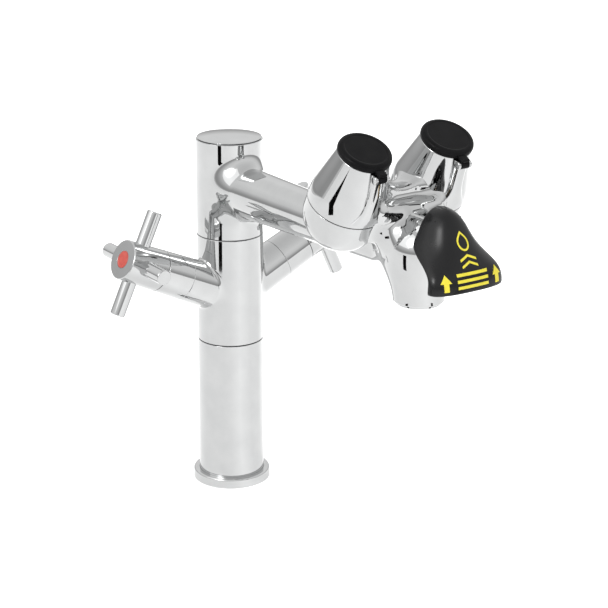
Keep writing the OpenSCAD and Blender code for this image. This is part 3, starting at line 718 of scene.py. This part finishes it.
@dataclass
class SpoutCasting(CastSkin):
    """The swivel barrel, the arm, the outlet and the saddle that carries the heads."""

    radius: float = 25.0
    foot: float = 198.2
    top: float = 271.0
    arm_height: float = 233.9
    arm_rise: float = 1.3
    arm_root: float = 19.4
    arm_tip: float = 13.9
    outlet_reach: float = 231.0
    outlet_radius: float = 17.4
    outlet_bend: float = 246.0
    mouth: float = 207.0
    collar_radius: float = 15.2
    lobe_reach: float = 213.0
    lobe_height: float = 257.0
    lobe_radius: float = 16.0
    ridge: tuple = (22.0, 220.0, 268.5)
    ridge_radius: float = 5.5
    nose: tuple = (0.0, -238.5, 264.5)
    neck_radius: float = 19.0
    core_radius: float = 25.8
    cap_seat: float = 23.3
    swivel_bore: float = 14.05
    outlet_bore: float = 12.1

    def _arm_start(self) -> tuple:
        """The arm's start, inside the barrel."""
        return (0, -20, self.arm_height + 0.45)

    def _arm_end(self) -> tuple:
        """The arm's far end."""
        rise = self.outlet_reach * math.tan(math.radians(self.arm_rise))
        return (0, -self.outlet_reach, self.arm_height + rise)

    def _across(self, half: float, reach: float, height: float) -> tuple:
        """The two ends of a bar that lies across the spout."""
        return (-half, -reach, height), (half, -reach, height)

    def _head_ends(self, side: int) -> list:
        """Points down a head's axis: under its mouth, at its shoulder and in its bowl."""
        axis = HeadFrame(side).axis
        return [axis @ Vector((0, 0, -level)) for level in (14, 38, 51.6)]

    def distance(self, p: np.ndarray) -> np.ndarray:
        """Distance to the whole casting."""
        barrel = np.hypot(p[:, 0], p[:, 1]) - self.radius
        arm = tapered(p, self._arm_start(), self._arm_end(), self.arm_root - 0.4, self.arm_tip)
        outlet = tapered(p, (0, -self.outlet_reach, 190), (0, -self.outlet_reach, self.outlet_bend),
                         self.outlet_radius, self.outlet_radius)
        lobe = tapered(p, *self._across(10, self.lobe_reach, self.lobe_height), self.lobe_radius,
                       self.lobe_radius)
        ridge = tapered(p, *self._across(*self.ridge), self.ridge_radius, self.ridge_radius)
        web = block(p, (0, -205, 268), (22, 9.5, 18), 5)
        saddle = tapered(p, (0, -150, 302), (0, -260, 302), 18.5, 18.5)
        web = scooped(web, saddle, 4)
        nose = block(p, self.nose, (7.4, 21, 4.2), 3.5)
        cores = []
        for side in (-1, 1):
            neck, shoulder, bowl = self._head_ends(side)
            cores += [tapered(p, neck, shoulder, self.neck_radius, self.core_radius),
                      tapered(p, shoulder, bowl, self.core_radius, self.core_radius)]
        spout = fillet(fillet(arm, outlet, 20), lobe, 7)
        spout = fillet(spout, ridge, 4)
        spout = fillet(spout, nose, 5)
        spout = fillet(spout, fillet(web, np.minimum.reduce(cores), 6), 6)
        return fillet(barrel, spout, 11)

    def blanks(self) -> list:
        """Rough solids that fill the casting."""
        reach = -self.outlet_reach
        rough = [rod(self.radius, (0, 0, self.foot - 8), (0, 0, self.top + 8)),
                 rod(16.5, (0, 0, self.arm_height), self._arm_end()),
                 rod(self.outlet_radius, (0, reach, 196), (0, reach, self.outlet_bend + 4)),
                 rod(self.lobe_radius - 1, *self._across(12, self.lobe_reach, self.lobe_height)),
                 rounded_block((40, 21, 28), (0, -204, 264), 2),
                 rounded_block((15, 42, 8.5), self.nose, 2),
                 rod(self.ridge_radius, *self._across(*self.ridge))]
        for side in (-1, 1):
            neck, shoulder, bowl = self._head_ends(side)
            for a, b, r in ((neck, shoulder, 20), (shoulder, bowl, 25)):
                rough.append(rod(r, tuple(a), tuple(b), 3))
            ball = bmesh.new()
            bmesh.ops.create_uvsphere(ball, u_segments=48, v_segments=24, radius=self.core_radius,
                                      matrix=Matrix.Translation(bowl))
            rough.append(ball)
        return rough

    def build(self) -> None:
        """Builds the casting."""
        bm = self.cast()
        top, foot = self.top, self.foot
        self.cut(bm, Matrix(), top - 0.5, lambda c: c.z > top - 8 and c.xy.length < 40,
                 [(self.radius - 0.4, top - 0.1), (self.cap_seat, top - 0.1),
                  (self.cap_seat, top - 5)])
        self.cut(bm, Matrix.Rotation(math.pi, 4, "X"), -foot - 0.3, lambda c: c.z < foot + 6
                 and c.xy.length < 40, [(self.radius - 0.3, -foot), (self.swivel_bore, -foot),
                                        (self.swivel_bore, -foot - 9)])
        mouth = Matrix.Translation((0, -self.outlet_reach, 0)) @ Matrix.Rotation(math.pi, 4, "X")
        low, r = self.mouth, self.collar_radius
        self.cut(bm, mouth, -low - 2.6, lambda c: c.z < low + 9 and c.y < -200,
                 [(self.outlet_radius - 0.5, -low - 2.1), (r + 0.3, -low - 2.1), (r, -low - 1.9),
                  (r, -low - 0.4), (r - 0.4, -low), (self.outlet_bore, -low),
                  (self.outlet_bore, -low - 9)])
        self.piece("spout_skin", bm, "spout", Look.CHROME, ["spout_casting"])


@dataclass
class SprayHead:
    """A spray head: bowl, shell, hinge strap and dust cap."""

    at: HeadFrame
    mouth_radius: float = 17.6
    bulge_radius: float = 26.5
    wall: float = 2.2
    mouth_level: float = 3.0
    shoulder: float = 37.0
    seam: float = 43.0
    seal: float = 0.6
    cap_radius: float = 18.6
    hinge_y: float = -22.0
    hinge_level: float = 5.2
    knuckle_radius: float = 2.7
    plate_seat: float = 15.4
    seat_depth: float = 16.1
    plug_radius: float = 14.0
    plug_depth: float = 6.1

    def outline(self, depth: float) -> float:
        """The shell's outer radius at a depth below the cap."""
        t = (depth - self.mouth_level) / (self.shoulder - self.mouth_level)
        return self.mouth_radius + (self.bulge_radius - self.mouth_radius) * min(max(t, 0.0), 1.0)

    def shell(self) -> None:
        """Builds the tapered shell."""
        inner = self.bulge_radius - self.wall
        rise = [(self.mouth_radius, -self.mouth_level, 0.5), (self.bulge_radius, -self.shoulder,
                                                              5.5), (self.bulge_radius, -self.seam,
                                                                     0.3), (inner, -self.seam, 0.0),
                (inner, -self.shoulder, 0.0), (self.plate_seat, -self.seat_depth, 0.0),
                (self.plate_seat, -self.mouth_level, 0.3)]
        finish_piece(f"{self.at.word}_shell_skin", moved(turned(rise, True), self.at.axis), "spout",
                     Look.CHROME, [f"{self.at.word}_head_shell"])

    def bowl(self) -> None:
        """Builds the round bowl under the seam."""
        r = self.bulge_radius
        inner = r - self.wall
        level = self.seam + self.seal
        centre = level + 8
        arc = [(r * math.cos(math.radians(a)), -centre - r * math.sin(math.radians(a)), 0.0)
               for a in range(6, 90, 6)]
        inside = [(inner * math.cos(math.radians(a)), -centre - inner * math.sin(math.radians(a)),
                   0.0) for a in range(84, -1, -12)]
        shape = [(r, -level, 0.3), (r, -centre, 0.0), *arc, (0.0, -centre - r, 0.0),
                 (0.0, -centre - inner, 0.0), *inside, (inner, -level, 0.0)]
        finish_piece(f"{self.at.word}_bowl_skin", moved(turned(shape, True), self.at.axis), "spout",
                     Look.CHROME, [f"{self.at.word}_head_bowl"])

    def knuckle(self, start: float, end: float, rounding: float) -> bmesh.types.BMesh:
        """A bar along the hinge, from one X to another."""
        y, z = self.hinge_y, -self.hinge_level
        return rod(self.knuckle_radius, (start, y, z), (end, y, z), rounding, 48)

    def cap(self) -> None:
        """Builds the dust cap with its hinge tongue."""
        r = self.cap_radius
        disc = [(0, 1.8, 0), (r - 4.4, 1.8, 0.3), (r - 3.9, 2.0, 0.3), (r - 1.7, 2.0, 1.4),
                (r, 0.1, 1.3), (r - 0.25, -2.6, 0.4), (self.plug_radius + 0.6, -2.6, 0.2),
                (self.plug_radius, -self.plug_depth, 0.4), (0, -self.plug_depth, 0)]
        tongue = rounded_block((6.4, 7.0, 2.6), (0, self.hinge_y + 1.9, -1.5), 1.0)
        finish_piece(f"{self.at.word}_cap_disc",
                     moved(joined(turned(disc), tongue, self.knuckle(-3.1, 3.1, 0.5)),
                           self.at.axis), f"{self.at.word}_cap", Look.CAP,
                     [f"{self.at.word}_dust_cap"])

    def strap(self) -> None:
        """Builds the hinge strap, which flares down the front of the shell."""
        bm = bmesh.new()
        bmesh.ops.create_cube(bm, size=2.0)
        bmesh.ops.subdivide_edges(bm, edges=bm.edges[:], cuts=15, use_grid_fill=True)
        top, low = self.hinge_level - 2.2, self.seam - 3.4
        for v in bm.verts:
            u, w, t = v.co.x, -v.co.y * 0.5 + 0.5, (1 - v.co.z) / 2
            depth = top + (low - top) * t
            half = float(eased(np.array([t]), (0, 0.45, 0.75, 1), (5.8, 5.4, 7.6, 13.0))[0])
            proud = float(eased(np.array([t]), (0, 0.3, 0.75, 1), (4.6, 3.2, 2.0, 1.3))[0])
            edge = 1 - 0.55 * abs(u) ** 4
            radius = self.outline(depth) - 1.2 + w * (proud * edge + 1.2)
            angle = u * half / radius
            v.co = (radius * math.sin(angle), -radius * math.cos(angle), -depth)
        bmesh.ops.recalc_face_normals(bm, faces=bm.faces)
        ears = [self.knuckle(x * 3.45, x * 5.6, 0.4) for x in (-1, 1)]
        finish_piece(f"{self.at.word}_hinge_strap", moved(joined(bm, *ears), self.at.axis), "spout",
                     Look.CHROME, [f"{self.at.word}_hinge_bracket"], even=False)

    def build(self) -> None:
        """Builds the whole head."""
        self.bowl()
        self.shell()
        self.strap()
        self.cap()


# ---- paddle ---------------------------------------------------------------------------------


@dataclass
class Paddle:
    """The black lift paddle: a bell-shaped hood with raised yellow marks."""

    pivot: tuple = (0.0, -256.0, 266.0)
    crown: float = 11.8
    drop: float = 36.0
    wall: float = 2.2
    across: int = 64
    down: int = 44
    mark_height: float = 0.22
    places: tuple = (0.0, 0.158, 0.282, 0.422, 0.537, 0.627, 0.742, 0.853, 0.946, 1.0)
    widths: tuple = (0.0, 5.6, 9.6, 13.4, 16.2, 18.9, 23.4, 27.4, 29.3, 29.5)
    fronts: tuple = (1.5, 5.4, 9.2, 13.0, 16.3, 19.4, 24.4, 29.2, 31.6, 32.0)
    back_places: tuple = (0.0, 0.64, 0.706, 0.763, 0.828, 0.889, 1.0)
    backs: tuple = (-7.0, -7.0, -4.5, 2.5, 13.0, 19.5, 21.0)

    def row(self, level: np.ndarray) -> np.ndarray:
        """The row of the hood at a level from the pivot: 0 at its crown and 1 at its lower edge."""
        return np.sqrt(np.clip((self.crown - level) / (self.crown + self.drop), 0, 1))

    def surface(self, turn: np.ndarray, row: np.ndarray) -> np.ndarray:
        """Points on the outside of the hood.

        Args:
            turn: from -1 at the left edge through 0 in front to 1 at the right edge.
            row: from 0 at the crown to 1 at the lower edge.

        Returns:
            One point for each pair.
        """
        half = eased(row, self.places, self.widths)
        front = eased(row, self.places, self.fronts)
        back = eased(row, self.back_places, self.backs)
        power = 2.0 / (2.15 + 0.5 * row)
        angle = turn * math.pi / 2
        x = half * np.sign(angle) * np.abs(np.sin(angle)) ** power
        ahead = back + (front - back) * np.abs(np.cos(angle)) ** power
        z = self.crown - (self.crown + self.drop) * row ** 2
        return np.stack([self.pivot[0] + x, self.pivot[1] - ahead, self.pivot[2] + z], axis=1)

    def hood(self) -> None:
        """Builds the hood with its two pivot ears."""
        bm = bmesh.new()
        bmesh.ops.create_grid(bm, x_segments=self.across, y_segments=self.down, size=1.0)
        grid = np.array([v.co for v in bm.verts], float)
        for v, co in zip(bm.verts, self.surface(grid[:, 0], (1 - grid[:, 1]) / 2)):
            v.co = co
        bmesh.ops.remove_doubles(bm, verts=bm.verts, dist=0.02)
        bmesh.ops.dissolve_degenerate(bm, dist=1e-4, edges=bm.edges)
        bmesh.ops.recalc_face_normals(bm, faces=bm.faces)
        if sum((f.normal.y for f in bm.faces)) > 0:
            bmesh.ops.reverse_faces(bm, faces=bm.faces)
        made = finish_piece("paddle_hood", bm, "paddle", Look.PADDLE, ["lift_paddle"], 80.0,
                            even=False)
        shell = made.modifiers.new("wall", "SOLIDIFY")
        shell.thickness, shell.offset = self.wall * MM, -1.0
        soft = made.modifiers.new("soft", "SUBSURF")
        soft.levels = soft.render_levels = 1
        _, y0, z0 = self.pivot
        ears = []
        for side in (-1, 1):
            ears.append(rod(3.4, (side * 8.6, y0, z0), (side * 11.6, y0, z0), 0.5, 48))
            ears.append(rounded_block((2.4, 5.0, 7.0), (side * 9.8, y0 - 1.5, z0 + 2.4), 0.6, 2))
        finish_piece("paddle_ears", joined(*ears), "paddle", Look.PADDLE)

    def on_hood(self, bm: bmesh.types.BMesh) -> bmesh.types.BMesh:
        """Wraps flat marks round the hood.

        Args:
            bm: marks in the XZ plane, where X is the distance round the front from its middle.

        Returns:
            The same mesh on the hood, a little proud of it.
        """
        flat = np.array([v.co for v in bm.verts], float)
        turns = np.linspace(-0.98, 0.98, 197)
        found = []
        for x, lift, z in flat:
            row = self.row(np.full_like(turns, z))
            line = self.surface(turns, row)
            run = np.concatenate([[0], np.cumsum(np.linalg.norm(np.diff(line, axis=0), axis=1))])
            run -= run[len(run) // 2]
            turn = np.interp(x, run, turns)
            spot = np.array([turn, turn + FINE, turn]), np.array([row[0], row[0], row[0] + FINE])
            a, b, c = self.surface(*spot)
            out = np.cross(c - a, b - a)
            out /= max(np.linalg.norm(out), 1e-9)
            out *= np.sign(-out[1]) or 1.0
            found.append(a + out * (lift * self.mark_height - 0.05))
        for v, co in zip(bm.verts, found):
            v.co = co
        return bm

    def plate(self, outline: Iterable[tuple]) -> bmesh.types.BMesh:
        """A thin plate with that outline, cut finely enough to wrap."""
        bm = bmesh.new()
        face = bm.faces.new([bm.verts.new((x, 0.0, z)) for x, z in outline])
        low = [min(v.co[i] for v in face.verts) for i in (0, 2)]
        high = [max(v.co[i] for v in face.verts) for i in (0, 2)]
        for i, normal in ((0, (1, 0, 0)), (1, (0, 0, 1))):
            place = low[i] + 1.2
            while place < high[i]:
                spot = (place, 0, 0) if i == 0 else (0, 0, place)
                bmesh.ops.bisect_plane(bm, geom=bm.verts[:] + bm.edges[:] + bm.faces[:], dist=1e-5,
                                       plane_co=spot, plane_no=normal)
                place += 1.2
        out = bmesh.ops.extrude_face_region(bm, geom=bm.faces[:])["geom"]
        bmesh.ops.translate(bm, vec=(0, 1, 0),
                            verts=[v for v in out if isinstance(v, bmesh.types.BMVert)])
        bmesh.ops.recalc_face_normals(bm, faces=bm.faces)
        return bm

    def marks(self) -> None:
        """Builds the marks: a drop over two chevrons, and two arrows beside plain bars."""
        def arrow(x: float, z: float, w: float, h: float) -> list:
            """An upward arrow's outline, standing at x, z."""
            return [(x - w * 0.22, z), (x + w * 0.22, z), (x + w * 0.22, z + h * 0.5),
                    (x + w / 2, z + h * 0.5), (x, z + h), (x - w / 2, z + h * 0.5),
                    (x - w * 0.22, z + h * 0.5)]

        def ring(x: float, z: float, w: float, h: float, band: float) -> list:
            """A drop's outline as a band, in quads."""
            def point(a: float, shrink: float) -> tuple:
                """A point of the drop at an angle."""
                up = max(0.0, math.cos(a))
                return (x + (w - shrink) * math.sin(a) * (1 - 0.75 * up ** 2),
                        z + (h - shrink * 1.4) * (math.cos(a) if up > 0 else 0.72 * math.cos(a)))
            steps = [math.tau * i / 28 for i in range(28)]
            return [[point(a, 0), point(b, 0), point(b, band), point(a, band)]
                    for a, b in zip(steps, steps[1:] + steps[:1])]

        plates = [self.plate(arrow(-20.5, -33.2, 8.0, 10.5)),
                  self.plate(arrow(20.5, -33.2, 8.0, 10.5))]
        for level, half in ((-32.6, 12.2), (-28.7, 12.2), (-24.8, 12.2)):
            plates.append(self.plate([(-half, level), (half, level), (half, level + 1.9),
                                      (-half, level + 1.9)]))
        for level in (-15.5, -19.2):
            plates.append(self.plate([(-6.2, level), (-6.2, level - 1.4), (0, level + 1.2),
                                      (6.2, level - 1.4), (6.2, level), (0, level + 2.6)]))
        plates += [self.plate(quad) for quad in ring(0.0, -6.4, 4.4, 6.6, 1.1)]
        marks = joined(*plates)
        bmesh.ops.remove_doubles(marks, verts=marks.verts, dist=0.01)
        finish_piece("paddle_marks", self.on_hood(marks), "paddle", Look.YELLOW, sharp=60.0,
                     even=False)

    def build(self) -> None:
        """Builds the hood and its marks."""
        self.hood()
        self.marks()


@dataclass
class DiverterSpring:
    """The coil spring that pushes the diverter stem back."""

    wire: float = 0.6
    turns: int = 6
    steps: int = 48
    stroke: float = 8.5

    def build(self) -> None:
        """Winds the spring in the room that the bore leaves for it."""
        low, high = (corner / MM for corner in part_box("diverter_spring"))
        radius, length = (high.x - low.x) / 2 - self.wire, high.y - low.y
        start = Vector((0.0, high.y, (low.z + high.z) / 2))
        bm = bmesh.new()
        section = Matrix.Translation((radius, 0, self.wire)) @ Matrix.Rotation(math.pi / 2, 4, "X")
        bmesh.ops.create_circle(bm, segments=10, radius=self.wire, matrix=section)
        count = self.turns * self.steps
        bmesh.ops.spin(bm, geom=bm.verts[:] + bm.edges[:], cent=(0, 0, 0), axis=(0, 0, 1),
                       dvec=(0, 0, (length - 2 * self.wire) / count), angle=math.tau * self.turns,
                       steps=count)
        bmesh.ops.holes_fill(bm, edges=[e for e in bm.edges if e.is_boundary], sides=0)
        bmesh.ops.recalc_face_normals(bm, faces=bm.faces)
        moved(bm, Matrix.Translation(start) @ Matrix.Rotation(math.pi / 2, 4, "X"))
        coil = finish_piece("diverter_coil", bm, "spout", Look.STEEL, ["diverter_spring"],
                            even=False)
        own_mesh(coil)


# ---- carried-over nodes, stage, light and camera --------------------------------------------


def dress_nodes() -> None:
    """Gives every CAD node that still shows its procedural finish."""
    looks = {look.value.slot: look for look in Look}
    slots = {s["node"]: s["material_slot"] for s in frame["record"]["subparts"]}
    for name, node in frame["nodes"].items():
        if node.hide_render:
            continue
        look = looks[slots[name]]
        for place in node.material_slots:
            place.material = look.value.material()
        LOG.info("%s: CAD node in %s", name, look.value.slot)


@dataclass
class Studio:
    """A white table in a light tent, with black flags that the chrome mirrors."""

    flag_reach: float = 0.56
    lens: float = 118.15
    camera_place: tuple = (-0.7737, -1.2144, 0.6322)
    camera_turn: float = -32.5
    camera_aside: float = -2.23
    camera_down: float = 18.86
    camera_roll: float = 0.26
    glow_turn: float = -42.0
    glow_rise: float = 36.0
    glow_focus: float = 90.0
    glow_power: float = 16.0
    sky_power: float = 0.92
    # Painted light: the floor's glow at each turn in degrees round the column from the camera,
    # dimmer in front and brighter behind.
    floor_glow_by_turn: tuple = ((-180, 1.2), (-150, 0.8), (-90, 0.62), (-25, 0.62), (0, 0.68), (31, 0.86),
                          (70, 0.7), (110, 0.75), (150, 1.2), (180, 1.2))

    def floor(self) -> None:
        """Lays the pale floor, which glows: its emission is painted light that washes out the
        contact shadow and is dimmer towards the camera and brighter behind the faucet.
        """
        bm = bmesh.new()
        bmesh.ops.create_grid(bm, x_segments=1, y_segments=1, size=6.0)  # metres
        floor = as_object("floor", bm)
        made, board = fresh_material("painted_glow_floor")
        spot = board.node("ShaderNodeTexCoord", output="Object")
        turned_to = Matrix.Rotation(math.radians(-self.camera_turn), 3, "Z").to_euler()
        local = board.node("ShaderNodeMapping", {"vector_type": "POINT"},
                           {"Vector": spot, "Rotation": turned_to})
        along = board.node("ShaderNodeSeparateXYZ", {}, {0: local}, "X")
        ahead = board.node("ShaderNodeSeparateXYZ", {}, {0: local}, "Y")
        angle = board.node("ShaderNodeMath", {"operation": "ARCTAN2"}, {0: along, 1: -1 * ahead})
        place = angle * (0.5 / math.pi) + 0.5
        # Painted light: the floor's glow fills in its shade and sets what the chrome reflects from
        # below.
        tones = [(0.5 + turn / 360, (tone, tone, tone, 1.0)) for turn, tone in self.floor_glow_by_turn]
        glow = board.node("ShaderNodeValToRGB", {"stops": tones}, {0: place})
        surface = board.node("ShaderNodeBsdfPrincipled", {}, {
            "Base Color": (0.5, 0.5, 0.5, 1), "Roughness": 1.0, "Specular IOR Level": 0.0,
            "Emission Color": glow, "Emission Strength": 1.0})
        board.node("ShaderNodeOutputMaterial", {}, {"Surface": surface})
        floor.data.materials.append(made)

    def toward(self, turn: float, rise: float) -> tuple:
        """The direction that many degrees round from the camera and up from the horizon."""
        a, e = math.radians(self.camera_turn + turn), math.radians(rise)
        return (math.sin(a) * math.cos(e), -math.cos(a) * math.cos(e), math.sin(e))

    def sky(self) -> None:
        """Lights the scene with a soft tent: darker at the horizon and bright above."""
        world = bpy.data.worlds.new("tent")
        bpy.context.scene.world = world
        world.use_nodes = True
        board = Board(world.node_tree)
        way = board.node("ShaderNodeTexCoord", output="Generated")
        up = board.node("ShaderNodeSeparateXYZ", {}, {0: way}, "Z")
        stops = [(0.0, 0.9), (0.49, 0.9), (0.5, 0.5), (0.53, 0.48), (0.57, 0.66), (0.64, 1.0),
                 (0.75, 1.12), (1.0, 0.88)]
        tone = board.node("ShaderNodeValToRGB",
                          {"stops": [(at, (v, v, v, 1.0)) for at, v in stops]}, {0: up * 0.5 + 0.5})
        aim = board.node("ShaderNodeVectorMath", {"operation": "DOT_PRODUCT"},
                         {0: way, 1: self.toward(self.glow_turn, self.glow_rise)}, "Value")
        glow = board.node("ShaderNodeMath", {"operation": "POWER", "use_clamp": True},
                          {0: aim, 1: self.glow_focus})
        strength = glow * self.glow_power + self.sky_power
        light = board.node("ShaderNodeBackground", {}, {"Color": tone, "Strength": strength})
        board.node("ShaderNodeOutputWorld", {}, {"Surface": light})

    def flag(self, name: str, turn: float, width: float, low: float, high: float, reach: float,
             tone: float = 0.004) -> None:
        """Stands up a black card that only reflections see.

        Args:
            name: its name.
            turn: degrees round the column from the camera, positive to the camera's right.
            width: its width in metres.
            low: its lower edge in metres.
            high: its upper edge in metres.
            reach: its distance from the column in metres.
            tone: how dark it is.
        """
        bm = bmesh.new()
        place = (Matrix.Rotation(math.radians(self.camera_turn + turn), 4, "Z")
                 @ Matrix.Translation((0, -reach, (low + high) / 2))
                 @ Matrix.Rotation(math.pi / 2, 4, "X")
                 @ Matrix.Diagonal((width, high - low, 1, 1)))
        bmesh.ops.create_grid(bm, x_segments=1, y_segments=1, size=0.5, matrix=place)
        card = as_object(name, bm)
        made, board = fresh_material(name)
        glow = board.node("ShaderNodeEmission", {}, {"Color": (tone, tone, tone, 1),
                                                     "Strength": 1.0})
        board.node("ShaderNodeOutputMaterial", {}, {"Surface": glow})
        card.data.materials.append(made)
        card.visible_camera = card.visible_diffuse = card.visible_shadow = False

    def lamp(self, name: str, turn: float, height: float, reach: float, size: float,
             power: float) -> None:
        """Hangs a square softbox that looks at the faucet."""
        light = bpy.data.lights.new(name, "AREA")
        light.shape, light.size, light.energy = "SQUARE", size, power
        lamp = bpy.data.objects.new(name, light)
        bpy.context.scene.collection.objects.link(lamp)
        a = math.radians(self.camera_turn + turn)
        lamp.location = (math.sin(a) * reach, -math.cos(a) * reach, height)
        lamp.rotation_euler = (Vector((0, -0.12, 0.2))
                               - lamp.location).to_track_quat("-Z", "Y").to_euler()

    def camera(self) -> None:
        """Sets the camera."""
        data = bpy.data.cameras.new("camera")
        data.lens, data.sensor_width = self.lens, 36.0
        data.clip_start, data.clip_end = 0.05, 50.0
        camera = bpy.data.objects.new("camera", data)
        bpy.context.scene.collection.objects.link(camera)
        look = (Matrix.Rotation(math.radians(self.camera_turn + self.camera_aside), 3, "Z")
                @ Matrix.Rotation(math.radians(90 - self.camera_down), 3, "X")
                @ Matrix.Rotation(math.radians(self.camera_roll), 3, "Z"))
        camera.matrix_world = Matrix.Translation(self.camera_place) @ look.to_4x4()
        bpy.context.scene.camera = camera

    def build(self) -> None:
        """Sets up the whole stage."""
        bpy.context.scene.view_settings.view_transform = "Standard"
        self.floor()
        self.sky()
        self.flag("flag_left", -33, 0.12, 0.0, 0.2, self.flag_reach)
        self.flag("flag_right", 46, 0.06, 0.06, 0.2, self.flag_reach, 0.1)
        self.lamp("key_softbox", -60, 1.4, 1.4, 1.6, 5.0)
        self.camera()


def main() -> None:
    """Builds the faucet's pieces and its stage."""
    logging.basicConfig(level=logging.INFO, format="%(name)s: %(message)s")
    Studio().build()
    Column().build()
    valve = ValveBody()
    valve.build()
    Handle(valve, -1, Look.RED).build()
    Handle(valve, 1, Look.BLUE).build()
    SpoutCasting().build()
    for side in (-1, 1):
        SprayHead(HeadFrame(side)).build()
    Paddle().build()
    DiverterSpring().build()
    dress_nodes()


if __name__ == "__main__":
    main()
